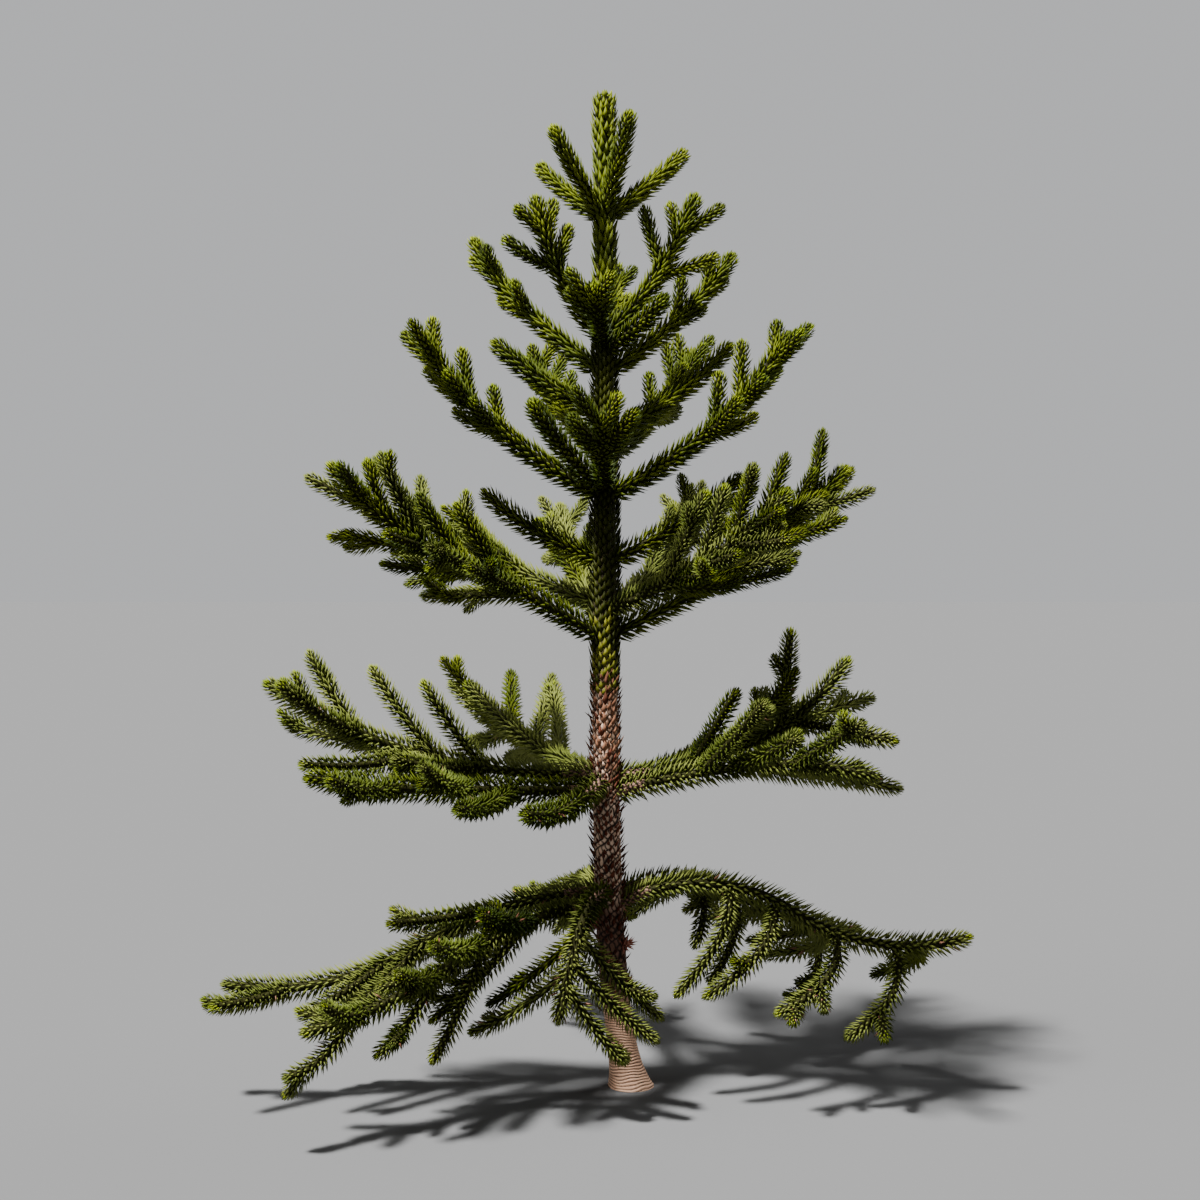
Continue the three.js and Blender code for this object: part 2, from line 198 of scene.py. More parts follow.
def paint(red, green, blue):
    """A colour given as on a screen, 0 to 255, as the shader takes it."""
    shares = [channel / 255 for channel in (red, green, blue)]
    return (*[share / 12.92 if share < 0.04 else ((share + 0.055) / 1.055) ** 2.4 for share in shares], 1.0)


def new_finish(name, roughness):
    """A material, a value to begin its expressions with, and its shader's sockets."""
    finish = bpy.data.materials.new(name)
    finish.use_nodes = True
    sockets = finish.node_tree.nodes["Principled BSDF"].inputs
    sockets["Roughness"].default_value = roughness
    return finish, Value(finish.node_tree), sockets


def bark_finish(name, colour_at):
    """Rough bark. colour_at gives the cushions' colour from the place; the grooves are painted dark as
    shade.
    """
    finish, start, sockets = new_finish(name, roughness=0.9)
    place = start.node("TexCoord", {}, {}, output="Object")
    swell = start.node("Attribute", {"attribute_name": "swell"}, {}, output="Fac")
    grain = place.noise(GRAIN_SCALE)
    # Painted shade: the colour darkens where the relief sinks, so the grooves of the cushions and wrinkles
    # are near black.
    lit = (swell + GRAIN_SHARE * grain).rise(low=0.25, high=0.8)
    lit.blend(paint(36, 19, 13), colour_at(place)).feed(sockets["Base Color"])
    bump = start.node("Bump", {}, {"Strength": 0.5, "Distance": 0.002, "Height": grain}, output="Normal")
    bump.feed(sockets["Normal"])
    return finish


def trunk_colour(place):
    height = place.node("SeparateXYZ", {}, {0: place}, output="Z")
    patch = place.noise(PATCH_SCALE)
    height = height + PATCH_REACH * patch
    foot = patch.blend(paint(218, 168, 134), paint(240, 194, 160))
    shin = patch.blend(paint(96, 64, 50), paint(150, 112, 92))
    stem = patch.blend(paint(212, 166, 138), paint(246, 216, 190))
    below = height.rise(low=0.28, high=0.40).blend(foot, shin)
    bare = height.rise(low=0.58, high=0.72).blend(below, stem)
    return height.rise(low=1.28, high=1.50).blend(bare, paint(96, 88, 46))


def trunk_swell(turn, height):
    """The bark's relief at a place: its share from 0 to 1, and its depth in metres."""
    stem = smooth_step(height, FOOT_FADES_FROM, FOOT_FADES_TO)
    old = cushion(turn, height, TRUNK_SPIRALS, CUSHION_PITCH)
    share = wrinkle(turn, height) * (1 - stem) + old * stem
    return share, WRINKLE_DEPTH * (1 - stem) + CUSHION_DEPTH * stem


rows = [*np.arange(0, FOOT_TOP, FOOT_ROW), *np.arange(FOOT_TOP, CUSHIONS_TOP, CUSHION_ROW)]
rows += [*np.arange(CUSHIONS_TOP, TRUNK_TIP, LEAFY_ROW)]
outline = [(0, 0), *[(trunk_radius(height), height) for height in rows], (0, TRUNK_TIP)]
trunk = turned(outline, TRUNK_SIDES)
swell_of = trunk.verts.layers.float.new("swell")
for corner in trunk.verts:
    x, y, z = corner.co
    radius = math.hypot(x, y)
    if radius > TINY:
        share, depth = trunk_swell(math.atan2(y, x) / (2 * math.pi), z)
        more = depth * share / radius
        corner[swell_of] = share
        corner.co = (x + x * more + trunk_x(z), y + y * more, z)
    else:
        corner.co.x += trunk_x(z)
trunk_piece = piece_from(trunk, "trunk_bark", bark_finish("trunk_bark", trunk_colour))
stand_for(trunk_piece, ["trunk"])

# Limbs. Each whorl of the tree has limbs of wood that rise, arch or hang from the trunk, and each limb
# bears forks of side shoots. Every line here is grown by the same rule as the solids, and the pieces below
# are made along these lines.
LINE_STEP = 0.022
ROOT_DEPTH = 0.004
LOWEST_SHOOT = 0.145
LEAF_REACH = 0.042
SHOOT_GAP = 0.006
ROLL_JITTER = 40
SPREAD_JITTER = 16
FORK_JITTER = 0.08
LENGTH_JITTER = 0.35
FOOT_LENGTH = 1.15
TIP_LENGTH = 0.65
SHARES = [1, 0.8, 0.62]
FREE_FROM = 4
UP = np.array([0.0, 0.0, 1.0])
TOWARDS_VIEWER = np.array([0.0, -1.0, 0.0])
# Each whorl gives the habit of its side shoots: the shares of a limb's length where they fork off, how
# far round the limb those of one fork are dealt, the angle they leave it at, their length, and how far they
# turn up by their tips, from the limb's foot to its tip. A limb's azimuth is 0 towards +X and 90 away from
# the viewer, and its rise is given at its foot, middle and tip. Where its shoots hang, hook is how far they
# turn back towards the trunk by their tips. Angles are in degrees.
WHORLS = [
    dict(
        name="lowest",
        bough=True,
        forks=[0.28, 0.44, 0.6, 0.8],
        round=240,
        spread=34,
        shoot=0.450,
        lift=[0.1, 0.7],
        limbs=[
            dict(azimuth=190, height=0.626, length=1.240, rise=[0, -30, 14], shoots=2, roll=180,
                 lift=[0, 0.4]),
            dict(azimuth=214, height=0.582, length=1.080, rise=[4, -27, -4], shoots=3, roll=168,
                 lift=[0, 1.1]),
            dict(azimuth=250, height=0.628, length=0.560, rise=[6, -50, -56], shoots=2, roll=225,
                 forks=[0.5, 0.64, 0.8], spread=58, shoot=0.560, lift=[0, 0.6]),
            dict(azimuth=352, height=0.588, length=1.170, rise=[30, -32, 20], shoots=2, roll=190,
                 spread=64, shoot=0.590, lift=[-1.8, 0.2], hook=2),
            dict(azimuth=22, height=0.628, length=0.960, rise=[14, -30, -4], shoots=2, roll=190,
                 spread=60, shoot=0.460, lift=[-1.8, 0.2], hook=1.6),
            dict(azimuth=100, height=0.605, length=1.040, rise=[10, -24, -4], shoots=3, roll=185,
                 lift=[-0.6, 0.4]),
        ],
    ),
    dict(
        name="low",
        bough=True,
        forks=[0.3, 0.48, 0.66],
        round=360,
        spread=36,
        shoot=0.520,
        lift=[0.3, 0.5],
        limbs=[
            dict(azimuth=192, height=1.002, length=1.120, rise=[0, 16, 36], shoots=3, roll=80),
            dict(azimuth=212, height=0.954, length=1.010, rise=[4, 4, 12], shoots=2, roll=10),
            dict(azimuth=244, height=0.985, length=0.540, rise=[-22, -4, 14]),
            dict(azimuth=351, height=1.000, length=0.880, rise=[4, 24, 60], shoots=3, roll=60,
                 spread=46, lift=[0, -0.1]),
            dict(azimuth=334, height=0.952, length=0.900, rise=[16, 10, -14], shoots=2, roll=20,
                 lift=[0.2, 0]),
            dict(azimuth=32, height=0.962, length=0.850, rise=[14, 14, 24], shoots=2, roll=10),
            dict(azimuth=122, height=0.995, length=0.940, rise=[6, 10, 24], shoots=3, roll=40),
        ],
    ),
    dict(
        name="middle",
        forks=[0.3, 0.46, 0.62, 0.8],
        round=360,
        spread=33,
        shoot=0.390,
        lift=[0, 0.3],
        limbs=[
            dict(azimuth=188, height=1.700, length=0.440, rise=[20, 30, 45]),
            dict(azimuth=207, height=1.455, length=1.050, rise=[30, 22, 48], shoots=3, roll=200),
            dict(azimuth=154, height=1.560, length=0.860, rise=[16, 24, 36], shoots=3, roll=20),
            dict(azimuth=102, height=1.500, length=0.900, rise=[18, 26, 44], shoots=3, roll=20),
            dict(azimuth=348, height=1.700, length=0.510, rise=[22, 32, 44]),
            dict(azimuth=322, height=1.540, length=0.770, rise=[18, 26, 42], shoots=3, roll=200),
            dict(azimuth=12, height=1.460, length=0.990, rise=[24, 32, 52], shoots=3, roll=200),
            dict(azimuth=60, height=1.540, length=0.840, rise=[18, 26, 44], shoots=3, roll=200),
        ],
    ),
    dict(
        name="upper",
        forks=[0.48, 0.68, 0.84],
        round=360,
        spread=40,
        shoot=0.260,
        lift=[0.96, 0.64],
        limbs=[
            dict(azimuth=184, height=2.170, length=0.420, rise=[26, 34, 44]),
            dict(azimuth=200, height=1.907, length=0.780, rise=[26, 36, 66], shoots=3, roll=80),
            dict(azimuth=230, height=1.935, length=0.420, rise=[28, 36, 46]),
            dict(azimuth=268, height=1.925, length=0.380, rise=[22, 32, 50], shoots=2, roll=0),
            dict(azimuth=336, height=1.907, length=0.790, rise=[24, 36, 62], shoots=3, roll=80),
            dict(azimuth=6, height=2.110, length=0.500, rise=[26, 36, 50]),
            dict(azimuth=56, height=2.040, length=0.690, rise=[24, 36, 52], shoots=3, roll=20),
            dict(azimuth=118, height=2.050, length=0.660, rise=[24, 36, 52], shoots=3, roll=20),
        ],
    ),
    dict(
        name="high",
        forks=[0.5, 0.74],
        round=360,
        spread=38,
        shoot=0.190,
        lift=[0.8, 0.8],
        limbs=[
            dict(azimuth=214, height=2.420, length=0.500, rise=[42, 60, 78], shoots=2, roll=90,
                 spread=50, shoot=0.250, lift=[0.5, 0.5]),
            dict(azimuth=168, height=2.310, length=0.630, rise=[38, 42, 66], shoots=3, roll=30),
            dict(azimuth=262, height=2.395, length=0.300, rise=[20, 28, 44], shoots=2, roll=0),
            dict(azimuth=312, height=2.375, length=0.310, rise=[18, 26, 42]),
            dict(azimuth=340, height=2.425, length=0.530, rise=[42, 56, 72], shoots=2, roll=90,
                 spread=50, shoot=0.250, lift=[0.5, 0.5]),
            dict(azimuth=14, height=2.310, length=0.590, rise=[34, 42, 58], shoots=2, roll=80),
            dict(azimuth=84, height=2.370, length=0.540, rise=[32, 42, 60], shoots=3, roll=10),
        ],
    ),
    dict(
        name="top",
        forks=[],
        limbs=[
            dict(azimuth=216, height=2.815, length=0.325, rise=[48, 52, 60]),
            dict(azimuth=160, height=2.805, length=0.300, rise=[36, 40, 48]),
            dict(azimuth=292, height=2.825, length=0.340, rise=[50, 52, 58]),
            dict(azimuth=26, height=2.810, length=0.385, rise=[36, 40, 46]),
            dict(azimuth=92, height=2.820, length=0.330, rise=[46, 52, 60]),
        ],
    ),
]


def chance(key):
    """A repeatable number from 0 to 1 for each key, the same as in the solids."""
    return (math.sin(key * 12.9898) * 43758.5453) % 1


def unit(vector):
    return vector / np.linalg.norm(vector)


def grow(foot, length, heading_at):
    """The points of a line that heads where heading_at says for each share of its length."""
    steps = max(3, math.floor(length / LINE_STEP + 0.5))
    moves = [heading_at((i + 0.5) / steps) * length / steps for i in range(steps)]
    return foot + np.cumsum([np.zeros(3), *moves], axis=0)


def heading(azimuth, rise):
    a, r = math.radians(azimuth), math.radians(rise)
    return np.array([math.cos(a) * math.cos(r), math.sin(a) * math.cos(r), math.sin(r)])


def along(points, share):
    """The point at a share of a line. Past either end it goes straight on."""
    place = share * (len(points) - 1)
    i = max(0, min(len(points) - 2, math.floor(place)))
    return points[i] + (points[i + 1] - points[i]) * (place - i)


def tangent(points, share):
    span = 1 / (len(points) - 1)
    return unit(along(points, share + span) - along(points, share - span))


def limb_of(whorl, limb):
    """A limb's own sizes with its whorl's, and its line from just inside the trunk's bark."""
    sizes = {"shoots": 0, "roll": 0, "hook": 0, **whorl, **limb}
    height, azimuth = sizes["height"], sizes["azimuth"]
    foot = np.array([trunk_x(height), 0, height])
    foot += heading(azimuth, 0) * (trunk_radius(height) - ROOT_DEPTH)

    def heading_at(share):
        return heading(azimuth, np.interp(share, [0, 0.5, 1], sizes["rise"]))

    return {**sizes, "points": grow(foot, sizes["length"], heading_at), "side": []}


def shoot_of(limb, fork, k, key, share):
    """Side shoot k of a fork: it leaves the limb at an angle, then turns up or down as its whorl does."""
    roll = limb["roll"] + k * limb["round"] / limb["shoots"] + ROLL_JITTER * (chance(key) - 0.5)
    spread = math.radians(limb["spread"] + SPREAD_JITTER * (chance(key + 0.3) - 0.5))
    at = fork + FORK_JITTER * (chance(key + 0.5) - 0.5)
    ahead = tangent(limb["points"], at)
    level = unit(np.cross(ahead, UP))
    out = level * math.cos(math.radians(roll)) + np.cross(level, ahead) * math.sin(math.radians(roll))
    first = ahead * math.cos(spread) + out * math.sin(spread)
    full = limb["shoot"] * (1 - LENGTH_JITTER * chance(key + 0.7))
    full *= FOOT_LENGTH + (TIP_LENGTH - FOOT_LENGTH) * fork
    turn = UP * (limb["lift"][0] + (limb["lift"][1] - limb["lift"][0]) * fork) - ahead * limb["hook"]
    return grow(along(limb["points"], at), full * share, lambda part: unit(first + turn * part))


def blocked(points, limb, grown):
    """True if a shoot comes too near the ground, the trunk or a shoot of another limb."""
    x, y, z = points.T
    low = z < LOWEST_SHOOT
    on_trunk = np.hypot(x - trunk_x(z), y) < trunk_radius(z) + LEAF_REACH
    others = np.concatenate([line for owner, line in grown if owner is not limb])
    gaps = np.linalg.norm(points[:, None] - others[None], axis=2)
    return low.any() or on_trunk.any() or (gaps < 2 * LEAF_REACH + SHOOT_GAP).any()


def grow_tree():
    """Every limb with its side shoots. A shoot that is blocked is shortened, or left out."""
    limbs = [limb_of(whorl, limb) for whorl in WHORLS for limb in whorl["limbs"]]
    grown = [(limb, limb["points"]) for limb in limbs]
    for n, limb in enumerate(limbs):
        for f, fork in enumerate(limb["forks"]):
            for k in range(limb["shoots"]):
                tries = (shoot_of(limb, fork, k, n * 100 + f * 10 + k, share) for share in SHARES)
                line = next((line for line in tries if not blocked(line[FREE_FROM:], limb, grown)), None)
                if line is not None:
                    limb["side"].append(line)
                    grown.append((limb, line))
    return limbs


limbs = grow_tree()

# Boughs. The oldest 11 cm of each limb in the two lowest whorls is brown wood, a little thicker than a
# broom handle, and armoured like the trunk with the cushions of old leaves, in finer spirals.
BOUGH_LENGTH = 0.110
BOUGH_FOOT_RADIUS = 0.0175
BOUGH_TIP_RADIUS = 0.014
BOUGH_SIDES = 48
BOUGH_ROWS = 44
BOUGH_SPIRALS = (8, 5)
BOUGH_PITCH = 0.021
BOUGH_DEPTH = 0.003
NEARLY_UP = 0.9


def carried_sides(points):
    """A direction square to a line at each of its points, carried along the line without twist."""
    ahead = np.gradient(points, axis=0)
    ahead /= np.linalg.norm(ahead, axis=1)[:, None]
    side = UP if abs(ahead[0][2]) < NEARLY_UP else TOWARDS_VIEWER
    sides = []
    for way in ahead:
        side = unit(side - way * np.dot(side, way))
        sides.append(side)
    return ahead, np.array(sides)


def walk(points, distances):
    """Place, heading and two square directions at distances along a line."""
    walked = np.concatenate([[0], np.cumsum(np.linalg.norm(np.diff(points, axis=0), axis=1))])
    ahead, side = carried_sides(points)

    def read(rows):
        return np.stack([np.interp(distances, walked, column) for column in rows.T], axis=-1)

    place, ahead, side = read(points), read(ahead), read(side)
    ahead /= np.linalg.norm(ahead, axis=-1, keepdims=True)
    side -= ahead * np.sum(side * ahead, axis=-1, keepdims=True)
    side /= np.linalg.norm(side, axis=-1, keepdims=True)
    return place, ahead, side, np.cross(ahead, side)


def bough_of(limb):
    """A turned body, swollen by its cushions and then laid along its limb's line."""
    shares = np.linspace(0, 1, BOUGH_ROWS)
    bm = turned([(0, 0), *[(1, share) for share in shares], (0, 1)], BOUGH_SIDES)
    swell_of = bm.verts.layers.float.new("swell")
    rows = np.stack(walk(limb["points"], shares * BOUGH_LENGTH), axis=1)
    for corner in bm.verts:
        x, y, share = corner.co
        place, _, side, over = rows[round(share * (BOUGH_ROWS - 1))]
        swell = cushion(math.atan2(y, x) / (2 * math.pi), share * BOUGH_LENGTH, BOUGH_SPIRALS, BOUGH_PITCH)
        radius = BOUGH_FOOT_RADIUS + (BOUGH_TIP_RADIUS - BOUGH_FOOT_RADIUS) * share + BOUGH_DEPTH * swell
        corner[swell_of] = swell
        corner.co = place + side * x * radius + over * y * radius
    return bm


def bough_colour(place):
    return place.noise(scale=40.0).blend(paint(104, 74, 54), paint(160, 122, 100))


boughs = bmesh.new()
for limb in limbs:
    if limb.get("bough"):
        made = bough_of(limb)
        mesh = bpy.data.meshes.new("one_bough")
        made.to_mesh(mesh)
        made.free()
        boughs.from_mesh(mesh)
        bpy.data.meshes.remove(mesh)
bough_piece = piece_from(boughs, "bough_bark", bark_finish("bough_bark", bough_colour))
bough_nodes = [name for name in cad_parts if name.startswith("bough_")]
stand_for(bough_piece, bough_nodes)

# Twigs. Under the leaves every limb and side shoot is a slim round stem of green and brown bark, and so is
# the leader, which carries the trunk on to the tree's top. Its bark is painted darker than it is, as the
# shade between the leaves. The longer side shoots fork once more, by the same rule as the limbs, into short
# twigs.
LEADER_FROM = 2.45
LEADER_STEM = 0.028
LIMB_STEM = 0.0155
SHOOT_STEM = 0.0125
TWIG_STEM = 0.0115
STEM_TIP = 0.5
STEM_SHORT = 0.019
BLUNT_RUN = 0.012
TWIG_SHEEN = 0.1
TWIG_HABIT = dict(shoots=1, round=0, spread=38, shoot=0.150, lift=[0.3, 0.3], hook=0)
TWIG_FORKS = [0.55, 0.74]
TWIG_CHANCE = 0.45
FORKING_LENGTH = 0.24


def length_of(points):
    return np.linalg.norm(np.diff(points, axis=0), axis=1).sum()


def twigs_of(line, limb, grown):
    """The twigs of one side shoot that have room to grow."""
    found = []
    for fork in TWIG_FORKS:
        key = random.uniform(0, 1000)
        shoot = {**TWIG_HABIT, "points": line, "roll": 360 * chance(key + 0.9)}
        twig = shoot_of(shoot, fork, 0, key, 1)
        if random.random() < TWIG_CHANCE and not blocked(twig[FREE_FROM:], limb, grown):
            found.append(twig)
    return found


def stems_of(name, lines):
    """Round stems along lines, as a curve with a thickness that is then made one mesh."""
    curve = bpy.data.curves.new(name, "CURVE")
    curve.dimensions = "3D"
    curve.bevel_depth = 1.0
    curve.bevel_resolution = 1
    curve.use_fill_caps = True
    for points, radius in lines:
        length = length_of(points) - STEM_SHORT
        distances = np.linspace(0, length, len(points) + 2)
        spline = curve.splines.new("POLY")
        spline.points.add(len(distances) - 1)
        for corner, place, distance in zip(spline.points, walk(points, distances)[0], distances):
            corner.co = (*place, 1)
            corner.radius = radius * (1 - (1 - STEM_TIP) * math.exp((distance - length) / BLUNT_RUN))
    drawn = bpy.data.objects.new(name, curve)
    bpy.context.collection.objects.link(drawn)
    mesh = bpy.data.meshes.new_from_object(drawn.evaluated_get(bpy.context.evaluated_depsgraph_get()))
    bpy.data.objects.remove(drawn)
    mesh.name = name
    mesh.materials.clear()
    piece = bpy.data.objects.new(name, mesh)
    bpy.context.collection.objects.link(piece)
    return piece


def mass_nodes(part):
    """The solids of the foliage of one whorl, or of the leader."""
    return [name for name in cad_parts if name.rstrip("_0123456789") == f"foliage_{part}"]


def trunk_line(low, high, count=24):
    heights = np.linspace(low, high, count)
    return np.stack([trunk_x(heights), np.zeros(count), heights], axis=1)


def twig_finish():
    finish, start, sockets = new_finish("twig_bark", roughness=0.8)
    sockets["Specular IOR Level"].default_value = TWIG_SHEEN
    place = start.node("TexCoord", {}, {}, output="Object")
    # Painted shade: the bark's green-brown is darkened nearly to black, as the shade in the gaps between
    # leaves.
    place.noise(scale=60.0).blend(paint(24, 28, 4), paint(44, 42, 12)).feed(sockets["Base Color"])
    return finish


grown = [(limb, line) for limb in limbs for line in [limb["points"], *limb["side"]]]
stems = {whorl["name"]: [] for whorl in WHORLS}
for limb in limbs:
    forking = [line for line in limb["side"] if length_of(line) > FORKING_LENGTH]
    twigs = [twig for line in forking for twig in twigs_of(line, limb, grown)]
    stems[limb["name"]].append((limb["points"], LIMB_STEM))
    stems[limb["name"]] += [(line, SHOOT_STEM) for line in limb["side"]]
    stems[limb["name"]] += [(twig, TWIG_STEM) for twig in twigs]
stems["leader"] = [(trunk_line(LEADER_FROM, TREE_HEIGHT), LEADER_STEM)]

twig_bark = twig_finish()
for name, lines in stems.items():
    twigs = stems_of(f"twigs_{name}", lines)
    twigs.data.materials.append(twig_bark)
    stand_for(twigs, mass_nodes(name))

# Leaves. Every shoot is clothed all round, right up to its blunt tip, in hard pointed leaves that lean
# forward and overlap in a spiral. They are longest on the limbs, shorter on side shoots and twigs, and
# broader on the leader, where they close over its top in a club. At every tip they are short, and at most
# tips some are young and bright.
TIP_LEAN = 4
BUD_LEAN = 24
BUD_RUN = 0.045
DOME_RUN = 0.024
TIP_SIZE = 0.4
OLD_SIZE = 1.1
OLD_FROM = 0.1
OLD_AT = 0.5
TIP_CROWD = 36
YOUNG_RUN = 0.026
YOUNG_SPREAD = (0.6, 1.3)
YOUNG_SHARE = 0.5
LEAF_FOOT = 0.9
LEAF_TURN_JITTER = 0.012
LEAF_LEAN_JITTER = 4
LEAF_SIZE_JITTER = 0.07
LOW_LEAF = {"width": 0.0090, "step": 0.0016, "dome": 0.0170, "side": 0.90}
MIDDLE_LEAF = {**LOW_LEAF, "side": 0.80}
HIGH_LEAF = {"width": 0.0130, "step": 0.0018, "dome": 0.0235, "side": 0.78}
LEADER_LEAF = {"width": 0.0220, "step": 0.0025, "dome": 0.0380, "side": 1}
# olive is the share of a whorl's shoots that take the olive pair, whose paler tone is partly painted light.
LEAF_HABIT = {
    "lowest": {**LOW_LEAF, "length": 0.041, "lean": 66, "young": 0.6, "olive": 0.9, "dead": 0.010},
    "low": {**LOW_LEAF, "length": 0.043, "lean": 62, "young": 0.6, "olive": 0.85, "dead": 0.004},
    "middle": {**MIDDLE_LEAF, "length": 0.045, "lean": 54, "young": 0.6, "olive": 0.5, "dead": 0},
    "upper": {**HIGH_LEAF, "length": 0.046, "lean": 47, "young": 0.6, "olive": 0, "dead": 0},
    "high": {**HIGH_LEAF, "length": 0.045, "lean": 44, "young": 0.6, "olive": 0, "dead": 0},
    "top": {**HIGH_LEAF, "length": 0.043, "lean": 40, "young": 0.8, "olive": 0, "dead": 0},
    "leader": {**LEADER_LEAF, "length": 0.050, "lean": 28, "young": 0.8, "olive": 0, "dead": 0},
}
GOLDEN_TURN = 0.381966
LEAF_SHEEN = 0.08
LEAF_SHAPE = {"widest": 0.34, "hollow": 0.07, "thick": 0.06, "bend": 0.12}


def leaf_pattern(name, shape):
    """A leaf of length and width 1 along +Y. Its upper face, towards +Z, is hollow; its tip bends up."""
    bm = bmesh.new()
    bmesh.ops.create_circle(bm, cap_ends=True, segments=4, radius=0.5)
    bmesh.ops.poke(bm, faces=bm.faces)
    copy = bmesh.ops.duplicate(bm, geom=bm.verts[:] + bm.edges[:] + bm.faces[:])
    under = [item for item in copy["geom"] if isinstance(item, bmesh.types.BMFace)]
    for face in under:
        face.material_index = 1
    under_corners = {corner for face in under for corner in face.verts}
    for corner in bm.verts:
        x, y, _ = corner.co
        if y > TINY:
            corner.co = (0, 1, shape["bend"])
        elif y < -TINY:
            corner.co = (0, 0, 0)
        elif abs(x) > TINY:
            corner.co = (x, shape["widest"], shape["hollow"])
        else:
            corner.co = (0, shape["widest"], -shape["thick"] * (corner in under_corners))
    bmesh.ops.remove_doubles(bm, verts=bm.verts, dist=TINY)
    bmesh.ops.recalc_face_normals(bm, faces=bm.faces)
    mesh = bpy.data.meshes.new(name)
    bm.to_mesh(mesh)
    bm.free()
    return mesh


def joined(name, pattern, places, finishes, kinds):
    """One mesh of many copies of a pattern. A place has four rows: the copy's X, Y and Z axes and its foot.
    A copy's kind chooses its pair of finishes, for its upper face and its under face."""
    corners = np.array([corner.co[:] for corner in pattern.vertices])
    faces = np.array([face.vertices[:] for face in pattern.polygons])
    sides = np.array([face.material_index for face in pattern.polygons])
    points = corners @ places[:, :3] + places[:, 3:]
    numbers = faces + (np.arange(len(places)) * len(corners))[:, None, None]
    mesh = bpy.data.meshes.new(name)
    mesh.vertices.add(points.shape[0] * points.shape[1])
    mesh.vertices.foreach_set("co", points.ravel())
    mesh.loops.add(numbers.size)
    mesh.loops.foreach_set("vertex_index", numbers.ravel())
    mesh.polygons.add(numbers.size // 3)
    mesh.polygons.foreach_set("loop_start", np.arange(0, numbers.size, 3))
    for finish in finishes:
        mesh.materials.append(finish)
    mesh.polygons.foreach_set("material_index", (2 * np.asarray(kinds)[:, None] + sides).ravel())
    mesh.update(calc_edges=True)
    mesh.validate()
    piece = bpy.data.objects.new(name, mesh)
    bpy.context.collection.objects.link(piece)
    return piece


def spiral_places(points, distances, turns, radius, lean, length, width):
    """Where leaves stand round a line, one for each distance along it."""
    place, ahead, side, over = walk(points, distances)
    angle = (2 * math.pi * turns)[:, None]
    lean = np.radians(lean)[:, None]
    out = side * np.cos(angle) + over * np.sin(angle)
    forward = ahead * np.cos(lean) + out * np.sin(lean)
    across = np.cross(out, ahead)
    upper = np.cross(across, forward)
    foot = place + out * radius[:, None]
    width, length = width[:, None], length[:, None]
    return np.stack([across * width, forward * length, upper * length, foot], axis=1)


def shoot_leaves(points, stem, habit):
    """The places of the leaves of one shoot, and how far each stands from its tip."""
    length = length_of(points) - STEM_SHORT
    count = np.arange(int(length / habit["step"]) + TIP_CROWD)
    from_tip = habit["step"] * count ** 2 / (count + TIP_CROWD)
    from_tip = from_tip[from_tip < length]
    n = len(from_tip)
    bud = np.exp(-from_tip / BUD_RUN)
    dome = 1 - np.clip(from_tip / DOME_RUN, 0, 1)
    turns = np.arange(n) * GOLDEN_TURN + random.normal(0, LEAF_TURN_JITTER, n)
    lean = habit["lean"] + (BUD_LEAN - habit["lean"]) * bud + (TIP_LEAN - BUD_LEAN) * dome
    lean += random.normal(0, LEAF_LEAN_JITTER, n)
    size = (1 + (TIP_SIZE - 1) * bud) * np.interp(from_tip, [OLD_FROM, OLD_AT], [1, OLD_SIZE])
    size *= random.normal(1, LEAF_SIZE_JITTER, n) * (habit["side"] if stem < LIMB_STEM else 1)
    radius = (stem + (habit["dome"] - stem) * bud) * np.sqrt(1 - dome ** 2) * LEAF_FOOT
    width = habit["width"] * size ** 0.5
    places = spiral_places(points, length - from_tip, turns, radius, lean, habit["length"] * size, width)
    return places, from_tip


def leaf_finish(name, shade, light, roughness=0.6):
    """Waxy leaf skin, in two tones that drift from one part of the tree to the next."""
    finish, start, sockets = new_finish(name, roughness)
    sockets["Specular IOR Level"].default_value = LEAF_SHEEN
    place = start.node("TexCoord", {}, {}, output="Object")
    tone = place.noise(scale=7.0).rise(low=0.35, high=0.65)
    tone.blend(shade, light).feed(sockets["Base Color"])
    return finish


leaf = leaf_pattern("leaf", LEAF_SHAPE)
# Each kind is a pair. The upper face, which turns in towards the shoot, is painted darker as shade. The
# under face, which faces out, is painted paler as light.
leaf_finishes = [
    leaf_finish("leaf_dark", paint(28, 38, 2), paint(44, 56, 4)),
    leaf_finish("leaf_dark_under", paint(58, 68, 3), paint(88, 96, 8)),
    # The olive pair is the older leaves' own duller green, also made lighter as painted light for the lower
    # whorls, which light reaches from above.
    leaf_finish("leaf_olive", paint(56, 66, 14), paint(80, 90, 28)),
    leaf_finish("leaf_olive_under", paint(84, 92, 34), paint(108, 114, 52)),
    leaf_finish("leaf_young", paint(78, 94, 6), paint(104, 118, 12)),
    leaf_finish("leaf_young_under", paint(96, 110, 12), paint(124, 134, 22)),
    leaf_finish("leaf_dead", paint(110, 72, 54), paint(146, 102, 80), roughness=0.8),
    leaf_finish("leaf_dead_under", paint(110, 76, 58), paint(150, 108, 86), roughness=0.8),
]
DARK, OLIVE, YOUNG, DEAD = range(4)
for name, habit in LEAF_HABIT.items():
    places, kinds = [], []
    for points, stem in stems[name]:
        found, from_tip = shoot_leaves(points, stem, habit)
        old = OLIVE if random.random() < habit["olive"] else DARK
        young_run = YOUNG_RUN * random.uniform(*YOUNG_SPREAD) * (random.random() < habit["young"])
        young = (from_tip < young_run) & (random.random(len(from_tip)) < YOUNG_SHARE)
        dead = random.random(len(from_tip)) < habit["dead"]
        places.append(found)
        kinds.append(np.where(young, YOUNG, np.where(dead, DEAD, old)))
    leaves = joined(f"leaves_{name}", leaf, np.concatenate(places), leaf_finishes, np.concatenate(kinds))
    stand_for(leaves, mass_nodes(name))
